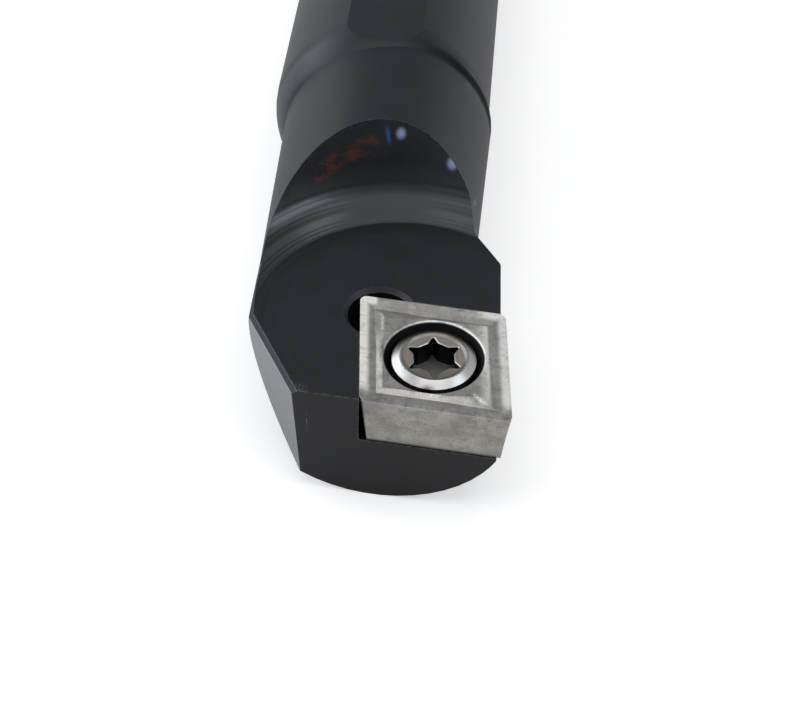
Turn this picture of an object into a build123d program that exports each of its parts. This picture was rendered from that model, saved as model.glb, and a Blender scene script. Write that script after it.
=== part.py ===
"""Screw-clamp boring bar for internal turning, right hand, 95 degree approach.

Millimetres. The shank's axis lies along Y with the rear face at y = 0 and the
cutting nose at y = -bar_length. +X is the side the nose stands out to, +Z is up
and is the side the insert's rake face looks to.
"""

import os
from math import cos, radians, sin, tan

from build123d import *

# ---- bar: shank, neck and head ------------------------------------------
bar_length = 180.0          # cutting nose to rear face
shank_diameter = 16.0
shank_across_flats = 15.0   # two parallel flats, top and bottom
rear_chamfer = 1.0
nose_offset = 11.0          # shank axis to the sharp cutting nose
shoulder_start = 34.2       # cutting nose to the start of the shank's shoulder
shoulder_run = 3.6          # the shoulder's arc, which ends inside the neck
shoulder_rise = 1.2
neck_length = 33.0          # cutting nose to the neck's widest section
neck_radius_back = 7.65     # the neck is turned a little off the shank's axis
neck_radius_front = 7.2
neck_run_out = 2.0          # behind that section the neck sinks into the shank
neck_run_out_drop = 0.45
neck_shift = 0.6            # neck's axis towards the cutting side
neck_drop = 0.3             # neck's axis below the shank's
head_radius = 8.8
head_shift = 2.2            # head's axis towards the cutting side
head_drop = 0.5             # head's axis below the shank's
head_length = 12.5          # cutting nose to the start of the head's rear cone
head_cone_angle = 31.0      # half angle of that cone
head_side = 9.7             # flat side wall of the head, from the shank axis
head_side_toe = 2.5         # that wall opens towards the nose
head_corner_blend = 0.6     # side wall into the rear cone
front_overhang = 3.0        # turned blank in front of the nose, milled away

# ---- insert: 80 degree rhombic, positive --------------------------------
insert_inscribed = 9.525    # diameter of the circle that touches its four edges
insert_corner = 80.0
insert_thickness = 3.97
insert_clearance = 7.0      # flank angle, all round
insert_nose_radius = 0.4    # the two sharp corners
insert_side_radius = 0.6    # the two blunt corners
groove_land = 0.06          # narrow flat behind the cutting edge
groove_foot = 1.04          # edge to the lowest line of the chip groove
groove_top = 1.44           # edge to the rim of the middle plateau
groove_depth = 0.17
beak_foot = 1.27            # sharp corner to the tip of the plateau's beak
beak_top = 2.75             # sharp corner to where the beak's ridge is level
beak_root = 4.2             # sharp corner to where the beak ends
beak_root_foot = 2.15       # half width there, at the foot and on top
beak_root_top = 1.64
hole_radius = 2.2
hole_mouth_radius = 3.3
hole_lip_radius = 0.15
seat_top_depth = 0.85       # rake face to the top of the screw's seat
seat_top_radius = 2.75
seat_angle = 60.0           # included angle of the seat and of the screw's head

# ---- clamp screw, six-lobe drive ----------------------------------------
screw_head_depth = 0.26     # rake face down to the outer edge of the head's top
screw_crown = 0.38          # the top rises inwards to the dish's rim
screw_crest_radius = 0.15   # that rim, rounded over
screw_length = 7.6          # that outer edge to the tip
screw_radius = 2.0
screw_tip_chamfer = 0.4
dish_radius = 2.17
dish_floor_radius = 1.95
dish_depth = 0.16
drive_radius = 1.84         # centre to the lobes' tips
drive_valley_radius = 1.3   # centre to the flats between the lobes
drive_root_width = 0.64     # a lobe's width where it leaves the flats
drive_tip_width = 0.16
drive_root_radius = 0.3
drive_tip_radius = 0.08
drive_lead_in = 0.07
drive_depth = 1.7
drive_lobes = 6
drive_turn = 21.0           # where the screw came tight

# ---- how the pieces meet ------------------------------------------------
pocket_tilt = 5.0           # the insert leans down towards its nose
pocket_gap = 0.02           # insert's top edges to the pocket's two walls
seat_gap = 0.02             # screw's cone to its seat
thread_gap = 0.05           # screw's shank to its hole, all round
front_setback = 0.1         # front face behind the insert's front edge
front_relief = 4.0          # front face leans back below the insert
relief_hole_radius = 2.12   # clears the insert's buried corner
relief_hole_inset = 2.05    # that corner to the hole's axis
relief_hole_chamfer = 0.28
relief_hole_extra = 0.4     # deeper than the pocket's floor
facet_angle = 28.6          # corner facet to the shank's axis
facet_start = 14.0          # nose to the facet, along the front edge's line
facet_relief = 4.6          # the facet leans in below the rake face
edge_break = 0.35           # along the rake face's left edge and the facet

# ---- chip gullet, one plunge of a form cutter ---------------------------
gullet_x = 3.5              # cutter's axis from the shank's axis
gullet_back = 8.0           # cutter's axis behind the nose
gullet_floor_radius = 10.1
gullet_ramp_radius = 12.2
gullet_ramp_rise = 0.95
gullet_wall_radius = 15.2
gullet_wall_rise = 5.4
gullet_top_radius = 15.7
gullet_top_rise = 10.0
gullet_blend = 2.5

reach = bar_length          # longer than anything that is cut away

# ---- planes and points that the pieces share ----------------------------
lead_angle = (90 - insert_corner) / 2       # both edges fall away from the nose
tilt = radians(pocket_tilt)
rake = Plane(
    origin=(0, -bar_length, 0),
    x_dir=(1, 0, 0),
    z_dir=(0, -sin(tilt), cos(tilt)),
)
edge_length = insert_inscribed / sin(radians(insert_corner))
long_half = edge_length * cos(radians(insert_corner / 2))
short_half = edge_length * sin(radians(insert_corner / 2))
diagonal = 2**-0.5                          # the long diagonal runs at 45 degrees
insert_x = nose_offset - long_half * diagonal
insert_back = long_half * diagonal
insert_top = Plane(
    origin=rake.from_local_coords((insert_x, insert_back, 0)),
    x_dir=rake.x_dir - rake.y_dir,
    z_dir=rake.z_dir,
)
screw_axis_plane = Plane(
    origin=insert_top.origin,
    x_dir=rake.x_dir,
    z_dir=-rake.y_dir,
)
screw_axis = Axis(insert_top.origin, rake.z_dir)


def rhombus(inset):
    """The insert's outline, its edges moved in by inset, in insert_top's axes."""
    share = 1 - inset / (insert_inscribed / 2)
    return Polygon(
        (long_half * share, 0),
        (0, short_half * share),
        (-long_half * share, 0),
        (0, -short_half * share),
        align=None,
    )


def plateau(inset, tip, root_width):
    """The middle plateau's outline, which ends in a beak at each sharp corner."""
    blunt = short_half * (1 - inset / (insert_inscribed / 2))
    root = long_half - beak_root
    return Polygon(
        (long_half - tip, 0),
        (root, root_width),
        (0, blunt),
        (-root, root_width),
        (tip - long_half, 0),
        (-root, -root_width),
        (0, -blunt),
        (root, -root_width),
        align=None,
    )


# ---- insert --------------------------------------------------------------
with BuildPart() as insert:
    with BuildSketch(insert_top) as insert_outline:
        rhombus(0)
        fillet(insert_outline.vertices().sort_by_distance((0, 0, 0))[:2], insert_side_radius)
        fillet(insert_outline.vertices().sort_by_distance((0, 0, 0))[-2:], insert_nose_radius)
    extrude(amount=-insert_thickness, taper=insert_clearance)
    with BuildSketch(insert_top):
        rhombus(groove_land)
    with BuildSketch(insert_top.offset(-groove_depth)):
        rhombus(groove_foot)
    loft(mode=Mode.SUBTRACT)
    with BuildSketch(insert_top.offset(-groove_depth)):
        plateau(groove_foot, beak_foot, beak_root_foot)
    with BuildSketch(insert_top):
        plateau(groove_top, beak_top, beak_root_top)
    loft(ruled=True)
    seat_slope = tan(radians(seat_angle / 2))
    seat_bottom_depth = seat_top_depth + (seat_top_radius - hole_radius) / seat_slope
    with BuildSketch(screw_axis_plane):
        with BuildLine():
            Polyline(
                (0, 0),
                (hole_mouth_radius, 0),
                (seat_top_radius, -seat_top_depth),
                (hole_radius, -seat_bottom_depth),
                (hole_radius, -insert_thickness),
                (0, -insert_thickness),
                close=True,
            )
        make_face()
    revolve(axis=screw_axis, mode=Mode.SUBTRACT)
    mouth = insert.edges().filter_by(GeomType.CIRCLE).sort_by(
        lambda edge: abs(edge.radius - hole_mouth_radius)
    )[0]
    fillet(mouth, hole_lip_radius)

# ---- clamp screw ---------------------------------------------------------
with BuildPart() as clamp_screw:
    screw_head_radius = seat_top_radius - seat_gap
    cone_end_depth = seat_top_depth + (screw_head_radius - screw_radius) / seat_slope
    rim_height = screw_crown - screw_head_depth
    lobe_turn = radians(180 / drive_lobes)
    drive_root_length = (drive_valley_radius - drive_root_width / 2 * sin(lobe_turn)) / cos(lobe_turn)
    with BuildSketch(screw_axis_plane) as screw_profile:
        with BuildLine():
            Polyline(
                (0, rim_height - dish_depth),
                (dish_floor_radius, rim_height - dish_depth),
                (dish_radius, rim_height),
                (screw_head_radius, -screw_head_depth),
                (screw_head_radius, -seat_top_depth),
                (screw_radius, -cone_end_depth),
                (screw_radius, screw_tip_chamfer - screw_head_depth - screw_length),
                (screw_radius - screw_tip_chamfer, -screw_head_depth - screw_length),
                (0, -screw_head_depth - screw_length),
                close=True,
            )
        make_face()
        crest = screw_profile.vertices().sort_by_distance((dish_radius, rim_height, 0))[0]
        fillet(crest, screw_crest_radius)
    revolve(axis=screw_axis)
    with BuildSketch(insert_top.offset(rim_height - dish_depth)) as drive:
        RegularPolygon(drive_valley_radius, drive_lobes, major_radius=False, rotation=drive_turn)
        with PolarLocations(0, drive_lobes, drive_turn):
            Polygon(
                (0, drive_root_width / 2),
                (0, -drive_root_width / 2),
                (drive_root_length, -drive_root_width / 2),
                (drive_radius, -drive_tip_width / 2),
                (drive_radius, drive_tip_width / 2),
                (drive_root_length, drive_root_width / 2),
                align=None,
            )
        corners = 2 * drive_lobes
        fillet(drive.vertices().sort_by_distance((0, 0, 0))[:corners], drive_root_radius)
        fillet(drive.vertices().sort_by_distance((0, 0, 0))[-corners:], drive_tip_radius)
    extrude(amount=-drive_depth, mode=Mode.SUBTRACT)
    star = clamp_screw.edges(Select.LAST).group_by(screw_axis)[-1]
    chamfer(star, drive_lead_in)

# ---- bar -----------------------------------------------------------------
front_edge = rake.x_dir * cos(radians(lead_angle)) - rake.y_dir * sin(radians(lead_angle))
side_edge = rake.y_dir * cos(radians(lead_angle)) - rake.x_dir * sin(radians(lead_angle))
front_out = front_edge.cross(rake.z_dir)
nose = rake.from_local_coords((nose_offset, 0, 0))


def leaning(outward, angle):
    """A face's normal: outward in the rake plane, leaning back below it by angle."""
    return outward * cos(radians(angle)) - rake.z_dir * sin(radians(angle))


# shank: turned, with a rear chamfer and a soft shoulder, then milled flat twice
with BuildPart() as shank:
    shank_radius = shank_diameter / 2
    shoulder = shoulder_start - bar_length
    with BuildSketch():
        with BuildLine():
            side = Polyline(
                (0, 0),
                (shank_radius - rear_chamfer, 0),
                (shank_radius, -rear_chamfer),
                (shank_radius, shoulder),
            )
            shoulder_end = (shank_radius - shoulder_rise, shoulder - shoulder_run)
            TangentArc(side @ 1, shoulder_end, tangent=side % 1)
            Polyline(shoulder_end, (0, shoulder - shoulder_run), (0, 0))
        make_face()
    revolve(axis=Axis.Y)
    # the neck, on its own axis, runs out here
    with BuildSketch(Plane.XZ.offset(bar_length - neck_length - neck_run_out)):
        with Locations((neck_shift, -neck_drop)):
            Circle(neck_radius_back - neck_run_out_drop)
    with BuildSketch(Plane.XZ.offset(bar_length - neck_length)):
        with Locations((neck_shift, -neck_drop)):
            Circle(neck_radius_back)
    loft()
    for side in (1, -1):
        flat = Plane(origin=(0, 0, side * shank_across_flats / 2), z_dir=(0, 0, side))
        split(bisect_by=flat, keep=Keep.BOTTOM)

with BuildPart() as bar:
    # head, turned on an axis of its own, with a cone at its rear
    head_centre = (head_shift, -bar_length, -head_drop)
    cone_end_radius = head_radius / 2
    cone_run = (head_radius - cone_end_radius) / tan(radians(head_cone_angle))
    with BuildSketch(Plane(origin=head_centre, x_dir=(1, 0, 0), z_dir=(0, 0, 1))):
        with BuildLine():
            Polyline(
                (0, -front_overhang),
                (head_radius, -front_overhang),
                (head_radius, head_length),
                (cone_end_radius, head_length + cone_run),
                (0, head_length + cone_run),
                close=True,
            )
        make_face()
    revolve(axis=Axis(head_centre, (0, 1, 0)))

    # milled outline: side wall, front face and the corner facet
    toe = radians(head_side_toe)
    side_wall = Plane(
        origin=(head_side, head_length - bar_length, 0),
        z_dir=(cos(toe), sin(toe), 0),
    )
    split(bisect_by=side_wall, keep=Keep.BOTTOM)
    rear_corner = bar.faces().sort_by(Axis.X)[-1].edges().sort_by(Axis.Y)[-1]
    fillet(rear_corner, head_corner_blend)
    front_face = Plane(
        origin=nose - front_out * front_setback,
        z_dir=leaning(front_out, front_relief),
    )
    split(bisect_by=front_face, keep=Keep.BOTTOM)
    facet_turn = radians(facet_angle)
    facet_out = rake.x_dir * -cos(facet_turn) - rake.y_dir * sin(facet_turn)
    facet_top = nose - front_edge * facet_start
    facet = Plane(origin=facet_top, z_dir=leaning(facet_out, facet_relief))
    split(bisect_by=facet, keep=Keep.BOTTOM)

    # broken edges: along the facet, and up the left side where it runs out
    facet_break = Plane(
        origin=facet_top - facet_out * edge_break,
        z_dir=facet_out + rake.z_dir,
    )
    split(bisect_by=facet_break, keep=Keep.BOTTOM)
    left_edge_x = head_shift - head_radius + edge_break
    run_out = edge_break / (head_length - gullet_back)
    left_break = Plane(
        origin=rake.from_local_coords((left_edge_x, gullet_back, 0)),
        z_dir=rake.z_dir - rake.x_dir - rake.y_dir * run_out,
    )
    split(bisect_by=left_break, keep=Keep.BOTTOM)

    # neck, a slow taper from the shank's shoulder into the head
    with BuildSketch(Plane.XZ.offset(bar_length - neck_length)):
        with Locations((neck_shift, -neck_drop)):
            Circle(neck_radius_back)
    with BuildSketch(Plane.XZ.offset(bar_length - head_length)):
        with Locations((neck_shift, -neck_drop)):
            Circle(neck_radius_front)
    loft()
    add(shank.part)

    # rake face, milled flat from the front, then the chip gullet
    with BuildSketch(rake):
        with Locations((gullet_x, gullet_back - reach / 2)):
            Rectangle(reach, reach)
    extrude(amount=reach, mode=Mode.SUBTRACT)
    gullet_point = rake.from_local_coords((gullet_x, gullet_back, 0))
    with BuildSketch(Plane(origin=gullet_point, x_dir=rake.x_dir, z_dir=-rake.y_dir)) as gullet:
        with BuildLine():
            Polyline(
                (0, 0),
                (gullet_floor_radius, 0),
                (gullet_ramp_radius, gullet_ramp_rise),
                (gullet_wall_radius, gullet_wall_rise),
                (gullet_top_radius, gullet_top_rise),
                (0, gullet_top_rise),
                close=True,
            )
        make_face()
        ramp_end = gullet.vertices().sort_by_distance((gullet_ramp_radius, gullet_ramp_rise, 0))[0]
        fillet(ramp_end, gullet_blend)
    revolve(axis=Axis(gullet_point, rake.z_dir), mode=Mode.SUBTRACT)

    # insert pocket: two walls, open to the front and to the side
    wall_run = edge_length + pocket_gap / sin(radians(insert_corner))
    buried_corner = nose + (side_edge - front_edge) * wall_run
    with BuildSketch(rake):
        corner = rake.to_local_coords(buried_corner)
        to_front = rake.to_local_coords(rake.origin - side_edge * reach)
        to_side = rake.to_local_coords(rake.origin + front_edge * reach)
        with BuildLine():
            Polyline(
                corner,
                corner + to_front,
                corner + to_front + to_side,
                corner + to_side,
                close=True,
            )
        make_face()
    extrude(amount=-insert_thickness, mode=Mode.SUBTRACT)

    # corner relief, and the clamp screw's hole right through the head
    with BuildSketch(rake):
        with Locations(corner + Vector(1, -1) * relief_hole_inset * diagonal):
            Circle(relief_hole_radius)
    extrude(amount=-insert_thickness - relief_hole_extra, mode=Mode.SUBTRACT)
    with BuildSketch(rake):
        with Locations(corner + Vector(1, -1) * relief_hole_inset * diagonal):
            Circle(relief_hole_radius + relief_hole_chamfer)
    extrude(amount=-relief_hole_chamfer, taper=45, mode=Mode.SUBTRACT)
    with BuildSketch(rake):
        with Locations((insert_x, insert_back)):
            Circle(screw_radius + thread_gap)
    extrude(amount=-reach, mode=Mode.SUBTRACT)

# ---- export --------------------------------------------------------------
bar.part.label = "bar"
insert.part.label = "insert"
clamp_screw.part.label = "clamp_screw"

os.makedirs("parts", exist_ok=True)
export_step(bar.part, "parts/bar.step")
export_step(insert.part, "parts/insert.step")
export_step(clamp_screw.part, "parts/clamp_screw.step")
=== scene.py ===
from math import cos, hypot, pi, radians, sin

import bmesh
import bpy
from mathutils import Matrix, Vector


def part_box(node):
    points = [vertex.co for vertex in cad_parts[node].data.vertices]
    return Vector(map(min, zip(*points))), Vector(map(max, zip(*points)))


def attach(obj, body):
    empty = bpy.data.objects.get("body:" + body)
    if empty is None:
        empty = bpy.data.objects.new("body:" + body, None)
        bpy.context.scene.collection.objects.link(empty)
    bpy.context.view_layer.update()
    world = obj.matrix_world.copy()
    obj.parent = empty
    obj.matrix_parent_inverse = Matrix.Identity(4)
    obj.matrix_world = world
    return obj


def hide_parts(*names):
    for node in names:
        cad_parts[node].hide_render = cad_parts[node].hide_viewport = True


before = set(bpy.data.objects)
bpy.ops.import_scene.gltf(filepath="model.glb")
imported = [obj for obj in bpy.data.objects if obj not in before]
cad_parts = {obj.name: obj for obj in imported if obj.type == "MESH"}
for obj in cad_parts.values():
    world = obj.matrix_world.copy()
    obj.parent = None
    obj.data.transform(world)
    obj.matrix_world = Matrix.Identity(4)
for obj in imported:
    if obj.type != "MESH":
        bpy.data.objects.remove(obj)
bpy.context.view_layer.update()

mm = 0.001
bpy.context.scene.view_settings.view_transform = "Standard"

noiseMiddle = 0.5
edgeFinder = {
    "samples": 6,
    "turn": (0.02, 0.2),  # how far the normal turns where an edge begins and where it is full
}


class Wire:  # a value in a shader, so that masks can be written as sums
    def __init__(self, shader, socket):
        self.shader = shader
        self.socket = socket

    def maths(self, operation, *values):
        return self.shader.node("ShaderNodeMath", {"operation": operation}, dict(enumerate(values)))[0]

    def __add__(self, other):
        return self.maths("ADD", self, other)

    def __radd__(self, other):
        return self.maths("ADD", other, self)

    def __sub__(self, other):
        return self.maths("SUBTRACT", self, other)

    def __rsub__(self, other):
        return self.maths("SUBTRACT", other, self)

    def __mul__(self, other):
        return self.maths("MULTIPLY", self, other)

    def __rmul__(self, other):
        return self.maths("MULTIPLY", other, self)

    def __pow__(self, other):
        return self.maths("POWER", self, other)

    def root(self):
        return self.maths("SQRT", self)

    def size(self):
        return self.maths("ABSOLUTE", self)

    def larger(self, other):
        return self.maths("MAXIMUM", self, other)

    def smaller(self, other):
        return self.maths("MINIMUM", self, other)

    def ramp(self, low, high):  # smooth step from 0 to 1 between two values
        sockets = {"Value": self, "From Min": low, "From Max": high}
        return self.shader.node("ShaderNodeMapRange", {"interpolation_type": "SMOOTHSTEP"}, sockets)[0]

    def lift(self, base, share):  # a share of this value, over a base
        return base + self * share

    def band(self, low, high, soft):  # 1 from low to high, with soft ends
        return self.ramp(low - soft, low + soft) * (1 - self.ramp(high - soft, high + soft))


class Shader:
    def __init__(self, owner):  # a new material or world
        self.owner = owner
        owner.use_nodes = True
        self.tree = owner.node_tree
        self.tree.nodes.clear()

    def node(self, kind, settings=None, sockets=None):
        made = self.tree.nodes.new(kind)
        for key, value in (settings or {}).items():
            setattr(made, key, value)
        for key, value in (sockets or {}).items():
            target = made.inputs[key]
            if isinstance(value, Wire):
                self.tree.links.new(value.socket, target)
            else:
                target.default_value = value
        return [Wire(self, output) for output in made.outputs]

    def mix(self, factor, first, second):  # two colours
        sockets = {0: factor, 6: first, 7: second}
        return self.node("ShaderNodeMix", {"data_type": "RGBA"}, sockets)[2]

    def noise(self, vector, scale, detail=2.0, roughness=0.5):
        sockets = {"Vector": vector, "Scale": scale, "Detail": detail, "Roughness": roughness}
        return self.node("ShaderNodeTexNoise", {}, sockets)[0]

    def lines(self, value, scale, detail, roughness=0.5):  # noise that follows one value alone
        return self.noise(self.vector(value, 0.0, 0.0), scale, detail, roughness)

    def streaks(self, across, along, width, length, detail=3.0, roughness=0.6):  # they run one way
        place = self.vector(across * (1 / width), along * (1 / length), 0.0)
        return self.noise(place, 1.0, detail, roughness)

    def stretch(self, vector, scale):
        sockets = {"Vector": vector, "Scale": scale}
        return self.node("ShaderNodeMapping", {"vector_type": "POINT"}, sockets)[0]

    def place(self):  # object coordinates in millimetres
        position = self.node("ShaderNodeTexCoord")[3]
        sockets = {0: position, "Scale": 1 / mm}
        return self.node("ShaderNodeVectorMath", {"operation": "SCALE"}, sockets)[0]

    def parts(self, vector):
        return self.node("ShaderNodeSeparateXYZ", {}, {0: vector})

    def vector(self, x, y, z):
        return self.node("ShaderNodeCombineXYZ", {}, {0: x, 1: y, 2: z})[0]

    def along(self, vector, direction):
        sockets = {0: vector, 1: tuple(direction)}
        return self.node("ShaderNodeVectorMath", {"operation": "DOT_PRODUCT"}, sockets)[1]

    def bump(self, height, strength, distance):
        sockets = {"Height": height, "Strength": strength, "Distance": distance}
        return self.node("ShaderNodeBump", {}, sockets)[0]

    def edges(self, radius):  # 0 on open faces, 1 on sharp edges
        settings = {"samples": edgeFinder["samples"]}
        rounded = self.node("ShaderNodeBevel", settings, {"Radius": radius})[0]
        flat = self.node("ShaderNodeNewGeometry")[1]
        sockets = {0: rounded, 1: flat}
        turn = self.node("ShaderNodeVectorMath", {"operation": "DOT_PRODUCT"}, sockets)[1]
        return (1 - turn).ramp(*edgeFinder["turn"])

    def finish(self, sockets):
        surface = self.node("ShaderNodeBsdfPrincipled", {}, sockets)[0]
        self.node("ShaderNodeOutputMaterial", {}, {0: surface})
        return self.owner


def reachFrom(first, second, centre):  # distance from a point, in a plane
    return ((first - centre[0]) ** 2.0 + (second - centre[1]) ** 2.0).root()


def spot(first, second, centre, radius, soft):  # 1 inside a round spot
    return 1 - reachFrom(first, second, centre).ramp(radius - soft, radius + soft)


def stroke(first, second, start, end, half, soft):  # 1 along a straight stroke
    length = hypot(end[0] - start[0], end[1] - start[1])
    runX, runY = (end[0] - start[0]) / length, (end[1] - start[1]) / length
    run = (first - start[0]) * runX + (second - start[1]) * runY
    aside = (second - start[1]) * runX - (first - start[0]) * runY
    return run.band(0.0, length, soft) * (1 - aside.size().ramp(half - soft, half + soft))


def weigh(shares, wires):  # the named share of each value, over a base
    total = shares.get("base", 0.0)
    for key, wire in wires.items():
        total = total + wire * shares[key]
    return total


def grey(value, warmth=0.0):
    return (value * (1 + warmth), value, value * (1 - warmth), 1)


view = {
    "place": (8.669, -274.517, 82.989),  # mm
    "azimuth": 2.93,  # degrees
    "elevation": 39.54,
    "roll": 2.43,
    "lens": 91.08,  # mm
    "sensor": 36.0,
    "clip": 0.01,  # m
}


def makeCamera():
    camera = bpy.data.objects.new("camera", bpy.data.cameras.new("camera"))
    camera.data.lens = view["lens"]
    camera.data.sensor_width = view["sensor"]
    camera.data.sensor_fit = "HORIZONTAL"
    camera.data.clip_start = view["clip"]
    turn = Matrix.Rotation(radians(view["azimuth"]), 3, "Z")
    turn = turn @ Matrix.Rotation(radians(90 - view["elevation"]), 3, "X")
    turn = turn @ Matrix.Rotation(radians(view["roll"]), 3, "Z")
    camera.matrix_world = Matrix.Translation(Vector(view["place"]) * mm) @ turn.to_4x4()
    bpy.context.scene.collection.objects.link(camera)
    bpy.context.scene.camera = camera


makeCamera()
print("camera placed")


studio = {
    "floorHalf": 3.0,  # m
    "floorGrey": 0.8,
    "floorGlow": 0.06,
    "backdropGlow": 0.42,  # more of it for the lens alone, up to white
    "wallLight": 0.42,  # what the walls give to dull surfaces
    "room": 0.84,  # how bright gloss sees the room
    "ceiling": 0.42,  # share of it that is left high at the back
    "ceilingFrom": (-0.05, 0.4),  # sines of the heights where that begins and is full
    "ceilingBehind": (-0.1, 0.2),  # the same, towards the back
    "ceilingMiddle": 0.05,  # where it is across the room, as a sine
    "ceilingHalf": (0.32, 0.66),
    "ceilingLean": 0.1,  # it comes down lower on the right
    "wallTint": grey(1.0),
    "highTint": (0.9, 0.96, 1.06, 1),  # daylight from above
    "lamps": [  # name, place and target in m, width and height in m, radiance, colour
        ("topLamp", (0.0, -0.3, 1.0), (0.0, -0.17, 0.0), (0.9, 0.9), 1.2, (1, 1, 1)),
        ("leftLamp", (-0.76, -0.1, 0.45), (0.0, -0.16, 0.0), (1.4, 0.5), 1.7, (0.94, 0.98, 1.05)),
        ("rightLamp", (0.66, -0.36, 0.6), (0.0, -0.16, 0.0), (0.5, 0.4), 1.9, (0.9, 0.97, 1.08)),
    ],
    "cardCentre": (0.0, -0.16, 0.0),
    "cardRadius": 0.5,
    "cardTurn": (-92.0, 116.0),  # degrees from straight in front, minus to the left
    "cardPeak": 20.0,  # where it is highest
    "cardHeight": (0.12, 0.26),  # at its low ends and at its peak
    "cardSteps": 36,
    "cardBlack": grey(0.01),
    "cardRoughness": 0.9,
}


def shownRays(shader):  # 1 for what the lens, glossy and transmission rays see
    rays = shader.node("ShaderNodeLightPath")
    return (rays[0] + rays[3] + rays[6]).smaller(1.0)


def makeSheet(name, points, faces, shader):  # a studio piece, not part of the object
    mesh = bpy.data.meshes.new(name)
    mesh.from_pydata(points, [], faces)
    mesh.materials.append(shader.owner)
    sheet = bpy.data.objects.new(name, mesh)
    bpy.context.scene.collection.objects.link(sheet)
    return sheet


def makeFloor():
    half = studio["floorHalf"]
    low = min(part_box(name)[0].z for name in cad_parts)
    shader = Shader(bpy.data.materials.new("paleFloor"))
    paper = shader.node("ShaderNodeBsdfDiffuse", {}, {"Color": grey(studio["floorGrey"])})[0]
    lens = shader.node("ShaderNodeLightPath")[0]
    shown = shownRays(shader) * studio["floorGlow"] + lens * studio["backdropGlow"]
    glow = shader.node("ShaderNodeEmission", {}, {"Color": grey(1.0), "Strength": shown})[0]
    both = shader.node("ShaderNodeAddShader", {}, {0: paper, 1: glow})[0]
    shader.node("ShaderNodeOutputMaterial", {}, {0: both})
    corners = [(-half, -half, low), (half, -half, low), (half, half, low), (-half, half, low)]
    floor = makeSheet("floor", corners, [(0, 1, 2, 3)], shader)


def makeWorld():
    world = bpy.data.worlds.new("studioWhite")
    bpy.context.scene.world = world
    shader = Shader(world)
    across, behind, height = shader.parts(shader.node("ShaderNodeTexCoord")[0])
    high = (height + across * studio["ceilingLean"]).ramp(*studio["ceilingFrom"])
    aside = (across - studio["ceilingMiddle"]).size().ramp(*studio["ceilingHalf"])
    dim = high * behind.ramp(*studio["ceilingBehind"]) * (1 - aside) * (1 - studio["ceiling"])
    shown = shownRays(shader)
    strength = studio["wallLight"] * (1 - shown) + (1 - dim) * shown * studio["room"]
    tint = shader.mix(high * shown, studio["wallTint"], studio["highTint"])
    light = shader.node("ShaderNodeBackground", {}, {"Color": tint, "Strength": strength})[0]
    shader.node("ShaderNodeOutputWorld", {}, {0: light})


def makeLamp(name, place, target, size, radiance, colour):
    lamp = bpy.data.objects.new(name, bpy.data.lights.new(name, "AREA"))
    lamp.data.shape = "RECTANGLE"
    lamp.data.size, lamp.data.size_y = size
    lamp.data.color = colour
    lamp.data.energy = radiance * pi * size[0] * size[1]
    aim = Vector(place) - Vector(target)
    lamp.matrix_world = Matrix.Translation(place) @ aim.to_track_quat("Z", "Y").to_matrix().to_4x4()
    bpy.context.scene.collection.objects.link(lamp)


def makeDarkCard():  # a black card round the front, seen only by gloss that faces it
    steps = studio["cardSteps"]
    first, last = studio["cardTurn"]
    low, high = studio["cardHeight"]
    centre = Vector(studio["cardCentre"])
    points = []
    for step in range(steps + 1):
        degrees = first + (last - first) * step / steps
        turn = radians(degrees)
        foot = centre + Vector((sin(turn), -cos(turn), 0)) * studio["cardRadius"]
        facing = max(cos(radians(degrees - studio["cardPeak"])), 0.0)
        points += [foot, foot + Vector((0, 0, low + (high - low) * facing * facing))]
    faces = [(2 * k, 2 * k + 2, 2 * k + 3, 2 * k + 1) for k in range(steps)]
    shader = Shader(bpy.data.materials.new("darkCard"))
    shader.finish({"Base Color": studio["cardBlack"], "Roughness": studio["cardRoughness"]})
    card = makeSheet("darkCard", points, faces, shader)
    card.visible_camera = False
    card.visible_diffuse = False
    card.visible_shadow = False


makeFloor()
makeWorld()
for lamp in studio["lamps"]:
    makeLamp(*lamp)
makeDarkCard()
print("studio lit")


# The head's planes and radii, in millimetres and degrees. x, back and up run along and square to
# the rake plane, from the bar's axis where it passes the nose. y and z are the bar's own.
head = {
    "tilt": 5.0,
    "lead": 5.0,
    "nose": (11.0, -180.0),  # x and y
    "gullet": (3.5, 8.0),  # the form cutter's axis, x and back
    "floorRadius": 10.1,
    "rampRadius": 12.2,
    "gulletRadius": 15.7,
    "neck": (0.6, -0.3),  # its axis, x and z
    "neckWide": (-147.0, 7.65),  # y and radius of its widest section
    "neckSlim": (-167.5, 7.2),
    "cone": (2.2, -0.5),  # the head's axis, x and z
    "coneStart": (-167.5, 8.8),
    "coneSlope": 0.601,
    "insertCentre": (5.76, 5.24),  # x and back
    "insertWidth": 9.525,
}
tilt = radians(head["tilt"])
lead = radians(head["lead"])
rakeBack = Vector((0, cos(tilt), sin(tilt)))
rakeUp = Vector((0, -sin(tilt), cos(tilt)))
rakeOrigin = Vector((0, head["nose"][1], 0))


def rakePoint(x, back):
    return rakeOrigin + Vector((x, 0, 0)) + rakeBack * back


def rakeParts(shader, place):  # x, back and up of a place
    x = shader.parts(place)[0]
    back = shader.along(place, rakeBack) - rakeOrigin.dot(rakeBack)
    up = shader.along(place, rakeUp) - rakeOrigin.dot(rakeUp)
    return x, back, up


# In the three finishes below, a pair is from where to where a mask changes. Three numbers are from
# where to where a band runs, and how soft its ends are. A noise is its scale, detail and roughness,
# and a lift is a base and the share of a mask or noise that is added to it.

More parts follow.
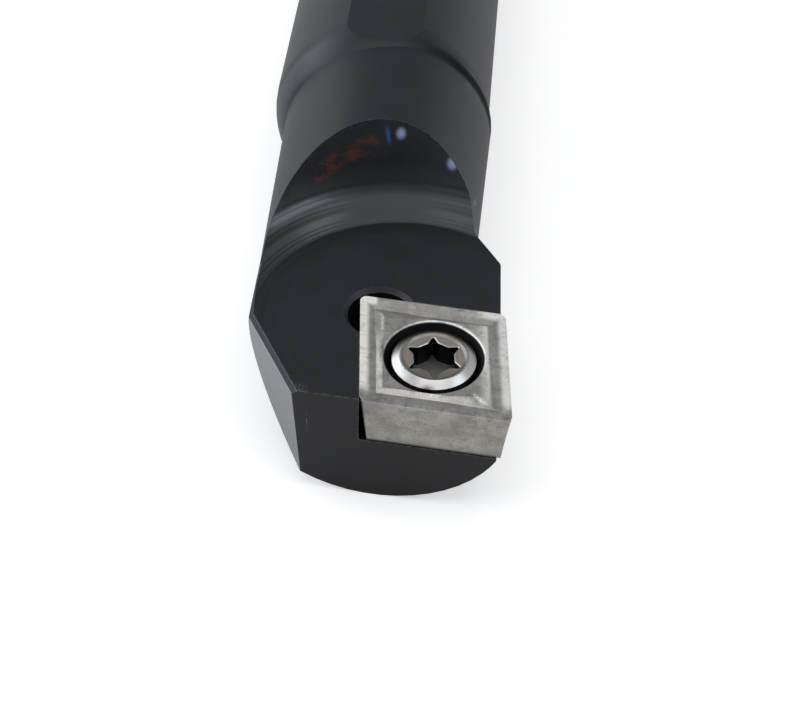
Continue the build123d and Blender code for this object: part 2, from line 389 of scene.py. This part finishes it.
oxide = {
    "dark": (0.0042, 0.0048, 0.007, 1),
    "light": (0.0095, 0.0102, 0.0138, 1),
    # near black, on the floor's edge and the front face; the mask of the same name is painted shade
    # round the right of the shoulder
    "blackAndShade": (0.0012, 0.0014, 0.0022, 1),
    "bare": grey(0.5, 0.01),
    # lighter: along the rake's edge by the facet, and the painted highlight round the shoulder's left
    "lightened": (0.17, 0.19, 0.22, 1),
    "facetSteel": (0.25, 0.26, 0.275, 1),
    "facetPale": (0.36, 0.37, 0.385, 1),
    "orangeReflection": (0.055, 0.015, 0.01, 1),  # painted reflection, orange, on the gullet's wall
    # painted reflection, blue, on the gullet's wall
    "blueReflection": (0.02, 0.06, 0.16, 1),
    "glint": (0.22, 0.27, 0.42, 1),
    "cloud": (0.35, 3.0),
    "grain": (9.0, 4.0, 0.7),
    "speck": (3.2, 2.0),
    "rings": (5.0, 3.0, 0.7),  # fine lines round the gullet's axis
    "arcs": (1.7, 3.0, 0.7),  # broad ones
    "turned": (7.0, 2.0, 0.6),
    "ground": (2.0, 3.0, 0.6),
    "groundStretch": (0.15, 0.15, 9.0),
    "blotch": (1.4, 3.0, 0.6),
    "blotchStretch": (0.6, 1.0, 1.3),
    "tone": {"cloud": 0.5, "grain": 0.35, "speck": 0.25, "arcs": 0.9},
    "toneStep": (0.35, 0.75),
    "facetAngle": 28.6,  # degrees, as the leans are
    "facetLean": 4.6,
    "facetStart": 14.0,  # from the nose, along the front
    "frontLean": 4.0,
    "frontSetback": 0.1,
    "planeStep": (-0.03, -0.01),
    "turnedStep": (0.03, 0.07),  # off a cone's surface, where its mask ends
    "headStep": (-0.4, -0.1),  # past the neck's slim end
    "rimStep": (0.02, 0.1),  # past the gullet's radius
    "gulletUp": (0.02, 0.1),
    "gulletEnd": (26.0, 26.5),
    "wallStep": (0.2, 1.2),  # past the ramp's radius
    "rakeUp": (-0.01, 0.01, 0.01),
    "milledRing": (6.5, 9.0),
    "floorEdge": 9.1,  # the floor is darker from this radius to its own
    "floorEdgeSoft": 0.35,
    "neckSoft": 0.1,
    "shoulderShadeRing": (-148.3, -147.2, 0.35),  # painted shade over y, round the right of the shoulder, made with metal over the near-black oxide
    "shoulderShadeSide": (1.0, 6.5),
    "shoulderHighlightRing": (-148.9, -147.2, 0.4),  # painted highlight round its left
    "shoulderHighlightSide": (3.0, 6.0),
    "shoulderHighlightLift": (0.08, 0.35),
    "frontDarker": 0.9,  # share of the near-black colour on the milled front face
    "edgeRadius": 0.12,
    "edgeSpeck": (0.35, 0.6),
    "edgeShare": 0.25,
    "rubbedStrip": (-0.3, 0.0, 0.06),  # the rake's edge, in from the facet
    "rubbedUp": (-0.1, -0.03),
    "rubbedGrain": (0.4, 0.6),
    "rubbedShare": 0.9,
    "groundStep": (0.3, 0.7),
    "orangeReflectionLine": (3.8, 0.35, 0.75),  # up at x = 0, its slope over x, half width
    "orangeReflectionSpan": (-3.4, 0.6, 0.3),
    "orangeReflectionBlotch": (0.4, 0.62),
    "blueReflectionLean": 0.25,
    "blueReflectionAcross": (2.2, 2.45, 0.12),
    "blueReflectionUp": (3.8, 4.6, 0.3),
    "glints": [(2.15, 4.3, 0.26), (5.8, 2.85, 0.3)],  # x, up and radius of painted glints
    "glintSoft": 0.22,
    "nicks": ((-2.6, 1.25), 0.5, 0.45),  # x and back, radius, softness
    "nicksUp": (-0.12, 0.1, 0.05),
    "nicksGrain": (0.52, 0.72),
    "nicksShare": 0.7,
    "scratchLean": 0.015,  # a scratch up the front face
    "scratchAcross": (-2.1, -2.04, 0.02),
    "scratchUp": (-3.9, -1.9, 0.2),
    "scratchSpeck": (0.4, 0.6),
    "scratchShare": 0.2,
    "trackMiddle": 1.5,  # the cutter's brighter tracks lie to both sides of this x
    "trackSides": (1.5, 5.0),
    "trackRight": 0.4,
    "trackRing": (9.2, 10.2),
    "trackArcs": (0.42, 0.56),
    "trackCoat": 0.95,
    "trackRake": 0.9,
    "trackRoughness": 0.16,
    "specular": 0.38,
    "roughness": {
        "base": 0.38,
        "tone": 0.1,
        "wall": -0.2,
        "ramp": -0.14,
        "rings": 0.08,
        "turned": 0.04,
        "arcs": 0.3,
        "ground": 0.1,
        "facet": -0.1,
        "floorEdge": 0.06,
        "blackAndShade": 0.45,
    },
    "facetMetal": 0.9,
    "bareMetal": 0.8,
    "shoulderShadeMetal": 0.8,
    "height": {"grain": 0.35, "rings": 1.5, "turned": 0.5, "ground": 0.6},
    "bumpStrength": 0.35,
    "bumpDepth": 0.01,
}


def facetPlane():  # a point on the corner facet and its outward normal
    turn, lean = radians(oxide["facetAngle"]), radians(oxide["facetLean"])
    start = oxide["facetStart"]
    point = rakePoint(head["nose"][0] - start * cos(lead), start * sin(lead))
    outward = Vector((-cos(turn), 0, 0)) - rakeBack * sin(turn)
    return point, outward * cos(lean) - rakeUp * sin(lean)


def frontPlane():  # the same of the front face
    lean = radians(oxide["frontLean"])
    outward = Vector((-sin(lead), 0, 0)) - rakeBack * cos(lead)
    point = rakePoint(head["nose"][0], 0) - outward * oxide["frontSetback"]
    return point, outward * cos(lean) - rakeUp * sin(lean)


def pastPlane(shader, place, plane):  # how far outside a plane a place lies
    point, normal = plane
    return shader.along(place, normal) - point.dot(normal)


def onTurned(x, y, z, axis, wide, slope):  # 1 on a cone's surface
    reach = reachFrom(x, z, axis) - (y - wide[0]) * slope
    return 1 - (reach - wide[1]).size().ramp(*oxide["turnedStep"])


def barSurfaces(shader, place):  # masks, each 1 on its own surface of the bar
    x, back, up = rakeParts(shader, place)
    y, z = shader.parts(place)[1:3]
    ring = reachFrom(x, back, head["gullet"])
    wide, slim = head["neckWide"], head["neckSlim"]
    neckSlope = (wide[1] - slim[1]) / (wide[0] - slim[0])
    behindHead = (y - slim[0]).ramp(*oxide["headStep"])
    onNeck = onTurned(x, y, z, head["neck"], wide, neckSlope) * behindHead
    onCone = onTurned(x, y, z, head["cone"], head["coneStart"], -head["coneSlope"]) * (1 - behindHead)
    outside = (ring - head["gulletRadius"]).ramp(*oxide["rimStep"])
    inside = (1 - onNeck) * (1 - onCone) * (1 - outside)
    inGullet = up.ramp(*oxide["gulletUp"]) * inside * (1 - back.ramp(*oxide["gulletEnd"]))
    wall = inGullet * (ring - head["rampRadius"]).ramp(*oxide["wallStep"])
    ramp = inGullet * (1 - wall)
    rake = up.band(*oxide["rakeUp"])
    return {
        "facet": pastPlane(shader, place, facetPlane()).ramp(*oxide["planeStep"]),
        "front": pastPlane(shader, place, frontPlane()).ramp(*oxide["planeStep"]),
        "wall": wall,
        "ramp": ramp,
        "rake": rake,
        "milled": (ramp + rake).smaller(1.0) * ring.ramp(*oxide["milledRing"]),
        "floorEdge": rake * ring.band(oxide["floorEdge"], head["floorRadius"], oxide["floorEdgeSoft"]),
        "neck": y.band(slim[0], wide[0], oxide["neckSoft"]) * onNeck,
        # painted shade round the right of the shoulder, for its metal and roughness
        "blackAndShade": y.band(*oxide["shoulderShadeRing"]) * x.ramp(*oxide["shoulderShadeSide"]),
        "pale": y.band(*oxide["shoulderHighlightRing"]) * (x * -1.0).ramp(*oxide["shoulderHighlightSide"]),
    }


def paintedReflections(shader, place, wall, colour):  # painted reflections and glints on the gullet's wall
    x, up = rakeParts(shader, place)[::2]
    # painted reflection, orange, in a stripe
    rise, slope, half = oxide["orangeReflectionLine"]
    stripe = 1 - (up - x * slope - rise).size().ramp(half / 2, half)
    blotch = shader.noise(shader.stretch(place, oxide["blotchStretch"]), *oxide["blotch"])
    orangeReflection = wall * stripe * x.band(*oxide["orangeReflectionSpan"]) * blotch.ramp(*oxide["orangeReflectionBlotch"])
    colour = shader.mix(orangeReflection, colour, oxide["orangeReflection"])
    # painted reflection, blue
    blueReflection = wall * (x + up * oxide["blueReflectionLean"]).band(*oxide["blueReflectionAcross"]) * up.band(*oxide["blueReflectionUp"])
    colour = shader.mix(blueReflection, colour, oxide["blueReflection"])
    # painted glints on the wall
    for glintX, glintUp, radius in oxide["glints"]:
        glint = wall * spot(x, up, (glintX, glintUp), radius, oxide["glintSoft"])
        colour = shader.mix(glint, colour, oxide["glint"])
    return colour


def bareSteel(shader, place, on, grain, speck):  # nicks and a scratch by the facet's foot
    x, back, up = rakeParts(shader, place)
    nicks = spot(x, back, *oxide["nicks"]) * up.band(*oxide["nicksUp"])
    nicks = nicks * grain.ramp(*oxide["nicksGrain"]) * (1 - on["facet"]) * oxide["nicksShare"]
    thin = (x + up * oxide["scratchLean"]).band(*oxide["scratchAcross"]) * up.band(*oxide["scratchUp"])
    scratch = on["front"] * thin * speck.ramp(*oxide["scratchSpeck"]) * oxide["scratchShare"]
    return (nicks + scratch).smaller(1.0)


def cutterTracks(shader, place, on, arcs):  # the brighter arcs of the ramp and the rake
    x, back = rakeParts(shader, place)[:2]
    ring = reachFrom(x, back, head["gullet"])
    middle, step = oxide["trackMiddle"], oxide["trackSides"]
    sides = (middle - x).ramp(*step) + (x - middle).ramp(*step) * oxide["trackRight"]
    sides = sides * ring.ramp(*oxide["trackRing"])
    tracks = arcs.ramp(*oxide["trackArcs"]) * sides * oxide["trackCoat"]
    return (on["ramp"] + on["rake"] * oxide["trackRake"]) * tracks


def blackOxide():
    shader = Shader(bpy.data.materials.new("blackOxide"))
    place = shader.place()
    x, back, up = rakeParts(shader, place)
    y = shader.parts(place)[1]
    ring = reachFrom(x, back, head["gullet"])
    on = barSurfaces(shader, place)

    # grain of the finish
    cloud = shader.noise(place, *oxide["cloud"])
    grain = shader.noise(place, *oxide["grain"])
    speck = shader.noise(place, *oxide["speck"])
    rings = shader.lines(ring, *oxide["rings"])
    arcs = shader.lines(ring, *oxide["arcs"])
    turned = on["neck"] * shader.lines(y, *oxide["turned"])
    ground = shader.noise(shader.stretch(place, oxide["groundStretch"]), *oxide["ground"])
    milledArcs = on["milled"] * (arcs - noiseMiddle)
    tone = weigh(oxide["tone"], {"cloud": cloud, "grain": grain, "speck": speck, "arcs": milledArcs})

    # colour, from the oxide up to the wear
    colour = shader.mix(tone.ramp(*oxide["toneStep"]), oxide["dark"], oxide["light"])
    colour = shader.mix(on["floorEdge"].larger(on["front"] * oxide["frontDarker"]), colour, oxide["blackAndShade"])
    edge = shader.edges(oxide["edgeRadius"] * mm) * speck.ramp(*oxide["edgeSpeck"])
    colour = shader.mix(edge * oxide["edgeShare"], colour, oxide["bare"])
    lightened = pastPlane(shader, place, facetPlane()).band(*oxide["rubbedStrip"]) * (1 - on["front"])
    lightened = lightened * up.ramp(*oxide["rubbedUp"]) * grain.ramp(*oxide["rubbedGrain"])
    colour = shader.mix(lightened * oxide["rubbedShare"], colour, oxide["lightened"])
    # painted highlight: the left of the shoulder lightened
    colour = shader.mix(on["pale"] * grain.lift(*oxide["shoulderHighlightLift"]), colour, oxide["lightened"])
    steel = shader.mix(ground.ramp(*oxide["groundStep"]), oxide["facetSteel"], oxide["facetPale"])
    colour = shader.mix(on["facet"], colour, steel)
    colour = paintedReflections(shader, place, on["wall"], colour)
    bare = bareSteel(shader, place, on, grain, speck)
    colour = shader.mix(bare, colour, oxide["bare"])

    roughness = weigh(oxide["roughness"], {
        "tone": tone,
        "wall": on["wall"],
        "ramp": on["ramp"],
        "rings": on["ramp"] * rings,
        "turned": turned,
        "arcs": milledArcs,
        "ground": on["facet"] * ground,
        "facet": on["facet"],
        "floorEdge": on["floorEdge"],
        "blackAndShade": on["blackAndShade"],
    })
    metal = (on["facet"] * oxide["facetMetal"]).larger(bare * oxide["bareMetal"])
    height = weigh(oxide["height"], {
        "grain": grain,
        "rings": rings * on["milled"],
        "turned": turned,
        "ground": on["facet"] * ground,
    })
    return shader.finish({
        "Base Color": colour,
        "Roughness": roughness,
        # metal over the near-black oxide paints shade round the right of the shoulder
        "Metallic": metal.larger(on["blackAndShade"] * oxide["shoulderShadeMetal"]),
        "Specular IOR Level": oxide["specular"],
        "Coat Weight": cutterTracks(shader, place, on, arcs),
        "Coat Roughness": oxide["trackRoughness"],
        "Normal": shader.bump(height, oxide["bumpStrength"], oxide["bumpDepth"] * mm),
    })


carbide = {
    "top": (0.34, 0.322, 0.292, 1),
    "pale": (0.54, 0.515, 0.47, 1),
    # dirt, and the painted shade of the flanks and the groove
    "dirtAndShade": (0.13, 0.118, 0.1, 1),
    # painted highlight along the insert's edges
    "edge": grey(0.8, 0.01),
    "marginHighlight": (0.93, 0.9, 0.835, 1),  # painted highlight on the rim at the sides
    # polished, and the painted highlights on the lip and the ridges
    "polishedAndHighlight": (0.88, 0.87, 0.84, 1),
    # painted shade: the relief hole's wall, near black
    "bore": grey(0.012),
    "cloud": (0.6, 4.0, 0.6),
    "smudge": (1.3, 5.0, 0.75),
    "grain": (7.0, 4.0, 0.7),
    "pressed": (22.0, 2.0, 0.6),
    "levels": (0.3, 5.0),  # width and length of the streaks along x
    "uprights": (0.25, 9.0),  # and of those across it
    "tone": {"cloud": 0.4, "smudge": 0.35, "grain": 0.25},
    "toneStep": (0.42, 0.58),
    "flankUp": (-0.12, -0.05),
    "boreRadius": 3.25,
    "boreStep": (-0.03, 0.02),
    "marginLeft": (0.95, 1.25),
    "marginRight": (1.1, 2.2),
    "marginRightShare": 0.75,
    "marginFront": (0.6, 1.6),
    "marginLift": (0.7, 0.5),
    "leftBand": (0.9, 1.2),
    "leftStreaks": (0.5, 0.68),
    "frontBand": (1.4, 1.9),
    "frontStreaks": (0.44, 0.7),
    "streakShare": 0.22,
    "grooveInset": (1.0, 1.5, 0.12),  # painted shadow in the groove on the left
    "grooveBack": (4.6, 6.6, 0.5),
    "grooveShare": 0.5,
    "dirtSmudge": (0.46, 0.64),
    "dirtLift": (0.6, -0.3),  # on the face, and less on the margin
    "dirtMost": 0.95,
    "cornerInset": 0.34,  # the dark spot behind the nose
    "cornerRadius": 0.3,
    "cornerSoft": 0.28,
    "cornerShare": 0.675,
    "flankSmudge": (0.42, 0.62),
    "flankLift": (0.12, 0.3),
    "wornInset": (0.17, 0.25, 0.05),  # a polished line along the cutting side
    "wornBack": (0.9, 4.4, 0.25),
    "wornGrain": (0.36, 0.58),
    "wornShare": 0.5,
    "lipBand": (0.0, 0.2, 0.05),  # painted highlight on the lip behind the hole
    "lipLean": 0.7,
    "lipStep": (0.4, 2.4),
    "lipShare": 0.55,
    "ridges": [  # painted highlights along the ridges, as strokes: side and front insets, half width, in mm
        ((8.78, 8.82), (8.05, 7.95), 0.12),
        ((8.08, 8.0), (8.06, 6.6), 0.09),
        ((8.38, 4.3), (8.42, 1.6), 0.09),
        ((2.35, 1.95), (1.25, 0.85), 0.13),
    ],
    "ridgeSoft": 0.09,
    "ridgeGrain": (0.25, 0.6),
    "ridgeShare": 0.75,
    "edgeRadius": 0.07,
    "edgeSmudge": (0.3, 0.55),
    "edgeShare": 0.7,
    "roughness": {"base": 0.27, "grain": 0.18, "edge": -0.1, "bore": 0.2},
    "metal": {"base": 0.75, "marginHighlight": -0.62, "bore": 0.25},
    "height": {"grain": 0.7, "pressed": 0.3},
    "bumpStrength": 0.3,
    "bumpDepth": 0.012,
}


def sinteredCarbide():
    shader = Shader(bpy.data.materials.new("sinteredCarbide"))
    place = shader.place()
    x, back, up = rakeParts(shader, place)
    centreX, centreBack = head["insertCentre"]
    noseX = head["nose"][0]
    frontInset = (x - noseX) * sin(lead) + back * cos(lead)
    sideInset = back * -sin(lead) - (x - noseX) * cos(lead)
    leftInset = head["insertWidth"] - sideInset
    ring = reachFrom(x, back, head["insertCentre"])

    cloud = shader.noise(place, *carbide["cloud"])
    smudge = shader.noise(place, *carbide["smudge"])
    grain = shader.noise(place, *carbide["grain"])
    pressed = shader.noise(place, *carbide["pressed"])
    levels = shader.streaks(back, x, *carbide["levels"])
    uprights = shader.streaks(x, back, *carbide["uprights"])
    below = 1 - up.ramp(*carbide["flankUp"])
    bore = below * (1 - (ring - carbide["boreRadius"]).ramp(*carbide["boreStep"]))
    flank = below * (1 - bore)
    face = 1 - flank

    # the pressed face, and painted highlight on its margin
    tone = weigh(carbide["tone"], {"cloud": cloud, "smudge": smudge, "grain": grain})
    colour = shader.mix(tone.ramp(*carbide["toneStep"]), carbide["top"], carbide["pale"])
    marginRight = (1 - sideInset.ramp(*carbide["marginRight"])) * carbide["marginRightShare"]
    marginHighlight = (1 - leftInset.ramp(*carbide["marginLeft"])).larger(marginRight)
    marginHighlight = marginHighlight * frontInset.ramp(*carbide["marginFront"]) * face
    marginHighlight = marginHighlight * smudge.lift(*carbide["marginLift"])
    colour = shader.mix(marginHighlight, colour, carbide["marginHighlight"])

    # dirt, and painted shade on the flanks and in the groove
    leftBand = (1 - leftInset.ramp(*carbide["leftBand"])) * levels.ramp(*carbide["leftStreaks"])
    frontBand = (1 - frontInset.ramp(*carbide["frontBand"])) * uprights.ramp(*carbide["frontStreaks"])
    groove = leftInset.band(*carbide["grooveInset"]) * back.band(*carbide["grooveBack"])
    lines = (leftBand + frontBand) * carbide["streakShare"] + groove * carbide["grooveShare"]
    dirtAndShade = smudge.ramp(*carbide["dirtSmudge"]) * marginHighlight.lift(*carbide["dirtLift"]) + lines * face
    inset = carbide["cornerInset"]
    corner = spot(x, back, (noseX - inset, inset), carbide["cornerRadius"], carbide["cornerSoft"])
    corner = corner * face * carbide["cornerShare"]
    # painted shade on the flanks
    shade = flank * smudge.ramp(*carbide["flankSmudge"]).lift(*carbide["flankLift"])
    dirtAndShade = dirtAndShade.smaller(carbide["dirtMost"]).larger(corner).larger(shade)
    colour = shader.mix(dirtAndShade, colour, carbide["dirtAndShade"])

    # wear, and painted highlights on the lip and the ridges
    worn = sideInset.band(*carbide["wornInset"]) * face * back.band(*carbide["wornBack"])
    worn = worn * grain.ramp(*carbide["wornGrain"]) * carbide["wornShare"]
    lip = (ring - carbide["boreRadius"]).band(*carbide["lipBand"])
    behind = (back - centreBack) * carbide["lipLean"] + (x - centreX) * carbide["lipLean"]
    lip = lip * behind.ramp(*carbide["lipStep"]) * carbide["lipShare"]
    worn = worn.larger(lip * face)
    # painted highlights along the ridges
    lightened = face * grain.ramp(*carbide["ridgeGrain"]) * carbide["ridgeShare"]
    for start, end, half in carbide["ridges"]:
        ridge = stroke(sideInset, frontInset, start, end, half, carbide["ridgeSoft"])
        worn = worn.larger(ridge * lightened)
    # painted highlight: the insert's edges lightened
    edge = shader.edges(carbide["edgeRadius"] * mm) * smudge.ramp(*carbide["edgeSmudge"])
    colour = shader.mix(edge * carbide["edgeShare"], colour, carbide["edge"])
    colour = shader.mix(worn, colour, carbide["polishedAndHighlight"])
    # painted shade: the relief hole's wall near black
    colour = shader.mix(bore, colour, carbide["bore"])

    height = weigh(carbide["height"], {"grain": grain, "pressed": pressed})
    return shader.finish({
        "Base Color": colour,
        "Roughness": weigh(carbide["roughness"], {"grain": grain, "edge": edge, "bore": bore}),
        "Metallic": weigh(carbide["metal"], {"marginHighlight": marginHighlight, "bore": bore}),
        "Normal": shader.bump(height, carbide["bumpStrength"], carbide["bumpDepth"] * mm),
    })


screw = {
    "steel": (0.46, 0.447, 0.42, 1),
    "worn": (0.3, 0.262, 0.225, 1),
    # grime, and the painted shade on the back and right of the head's cone
    "grimeAndShade": (0.1, 0.085, 0.068, 1),
    # painted shade: the drive recess and the tail in the hole, near black
    "recess": grey(0.008, 0.03),
    "pit": grey(0.25, 0.02),
    "rust": (0.07, 0.045, 0.03, 1),
    "grain": (5.0, 3.0, 0.6),
    "fine": (16.0, 3.0, 0.7),
    "rings": (9.0, 2.0),
    "dishRadius": 1.97,
    "dishStep": (-0.02, 0.06),
    "dishUp": -0.04,  # the dish's floor over the insert's face
    "flatBand": (-0.035, 0.03, 0.006),
    "deepStep": (-0.12, -0.08),
    "pitUp": -1.74,  # the recess's floor
    "pitStep": (0.02, 0.06),
    "tailUp": (-1.0, -0.5),  # from here down it is painted black as shade
    "shadeBack": (0.4, 2.1),  # from the screw's centre
    "shadeRight": (1.2, 2.6),
    "shadeShares": {"back": 1.1, "right": 0.1},
    "shadeRing": (2.02, 2.1),
    "shadeLift": (0.7, 0.5),
    "rimBand": (-0.04, 0.14, 0.04),  # past the dish's radius
    "rimShare": 0.75,
    "wornLift": (0.75, 0.4),
    "frontStep": (0.4, 1.7),  # darker in the front of the dish
    "frontRings": (0.45, 0.6),
    "frontRingShare": 0.4,
    "frontShare": 0.55,
    "rustAt": (-0.3, -2.75),  # from the screw's centre
    "rustRadius": 0.2,
    "rustSoft": 0.2,
    "rustNarrow": 0.5,
    "rustFine": (0.3, 0.5),
    "recessShare": 0.985,
    "roughness": {"base": 0.2, "grain": 0.1, "flat": 0.2, "rings": 0.05, "deep": 0.2},
    "metal": {"base": 0.95, "flat": -0.25},
    "bumpStrength": 0.2,
    "bumpDepth": 0.005,
}


def screwSteel():
    shader = Shader(bpy.data.materials.new("screwSteel"))
    place = shader.place()
    x, back, up = rakeParts(shader, place)
    centreX, centreBack = head["insertCentre"]
    ring = reachFrom(x, back, head["insertCentre"])
    grain = shader.noise(place, *screw["grain"])
    fine = shader.noise(place, *screw["fine"])
    rings = shader.lines(ring, *screw["rings"])

    # where each surface is
    pastDish = ring - screw["dishRadius"]
    overDish = up - screw["dishUp"]
    dish = 1 - pastDish.ramp(*screw["dishStep"])
    flat = dish * overDish.band(*screw["flatBand"])
    deep = dish * (1 - overDish.ramp(*screw["deepStep"]))
    pit = dish * (1 - (up - screw["pitUp"]).ramp(*screw["pitStep"]))
    under = 1 - up.ramp(*screw["tailUp"])

    # painted shade on the head's cone, darker to the back and a little to the right
    behind = (back - centreBack).ramp(*screw["shadeBack"])
    right = (x - centreX).ramp(*screw["shadeRight"])
    grimeAndShade = weigh(screw["shadeShares"], {"back": behind, "right": right})
    grimeAndShade = grimeAndShade * ring.ramp(*screw["shadeRing"]) * fine.lift(*screw["shadeLift"])
    grimeAndShade = grimeAndShade.larger(pastDish.band(*screw["rimBand"]) * screw["rimShare"]).smaller(1.0)
    colour = shader.mix(grimeAndShade, screw["steel"], screw["grimeAndShade"])
    colour = shader.mix(flat * fine.lift(*screw["wornLift"]), colour, screw["worn"])
    front = (centreBack - back).ramp(*screw["frontStep"])
    front = front + rings.ramp(*screw["frontRings"]) * screw["frontRingShare"]
    colour = shader.mix(flat * front * screw["frontShare"], colour, screw["grimeAndShade"])
    narrow = screw["rustNarrow"]
    rustX, rustBack = screw["rustAt"]
    rustSpot = (rustX * narrow, rustBack), screw["rustRadius"], screw["rustSoft"]
    rust = spot((x - centreX) * narrow, back - centreBack, *rustSpot)
    colour = shader.mix(rust * fine.ramp(*screw["rustFine"]), colour, screw["rust"])
    # painted shade: the recess's walls and the tail near black, its floor grey
    colour = shader.mix(deep.larger(under) * screw["recessShare"], colour, screw["recess"])
    colour = shader.mix(pit, colour, screw["pit"])
    shares = {"grain": grain, "flat": flat, "rings": rings, "deep": deep}
    return shader.finish({
        "Base Color": colour,
        "Roughness": weigh(screw["roughness"], shares),
        "Metallic": weigh(screw["metal"], {"flat": flat}),
        "Normal": shader.bump(fine + rings, screw["bumpStrength"], screw["bumpDepth"] * mm),
    })


pieces = {
    "bar": {
        "name": "barBody",
        "slot": "blackened_steel",
        "bevel": 0.05,  # mm
        "crease": 20,  # degrees
        "finish": blackOxide,
    },
    "insert": {
        "name": "insertBody",
        "slot": "carbide",
        "bevel": 0.03,
        "crease": 8,
        "finish": sinteredCarbide,
    },
    "clamp_screw": {
        "name": "screwBody",
        "slot": "screw_steel",
        "bevel": 0.02,
        "crease": 25,
        "finish": screwSteel,
    },
}
rounding = {
    "weld": 0.0005,  # mm
    "flatWithin": 0.2,  # degrees
    "steepCrease": 40,  # degrees, between walls that stand on the rake plane
    "steepTilt": 0.3,  # sine of how far such a wall may lean
    "segments": 2,
}


def markCreases(build, crease):  # the weights of the edges to be rounded; curved walls stay smooth
    weights = build.edges.layers.float.new("bevel_weight_edge")
    for edge in build.edges:
        edge.smooth = True
        if len(edge.link_faces) != 2:
            continue
        steep = all(abs(face.normal.dot(rakeUp)) < rounding["steepTilt"] for face in edge.link_faces)
        sharp = edge.calc_face_angle(0.0) > radians(rounding["steepCrease"] if steep else crease)
        edge.smooth = not sharp
        edge[weights] = 1.0 if sharp else 0.0


def makePiece(node, piece):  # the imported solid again, joined up, with its sharp edges just rounded
    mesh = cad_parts[node].data.copy()
    mesh.name = piece["name"]
    build = bmesh.new()
    build.from_mesh(mesh)
    bmesh.ops.remove_doubles(build, verts=build.verts, dist=rounding["weld"] * mm)
    within = radians(rounding["flatWithin"])
    bmesh.ops.dissolve_limit(build, angle_limit=within, verts=build.verts, edges=build.edges)
    for face in build.faces:
        face.smooth = True
    markCreases(build, piece["crease"])
    build.to_mesh(mesh)
    build.free()
    mesh.materials.clear()
    mesh.materials.append(piece["finish"]())
    body = bpy.data.objects.new(piece["name"], mesh)
    bpy.context.scene.collection.objects.link(body)
    bevel = body.modifiers.new("edges", "BEVEL")
    bevel.width = piece["bevel"] * mm
    bevel.segments = rounding["segments"]
    bevel.limit_method = "WEIGHT"
    bevel.use_clamp_overlap = True
    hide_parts(node)
    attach(body, "root")


for node, piece in pieces.items():
    makePiece(node, piece)
    print(piece["name"], "made")
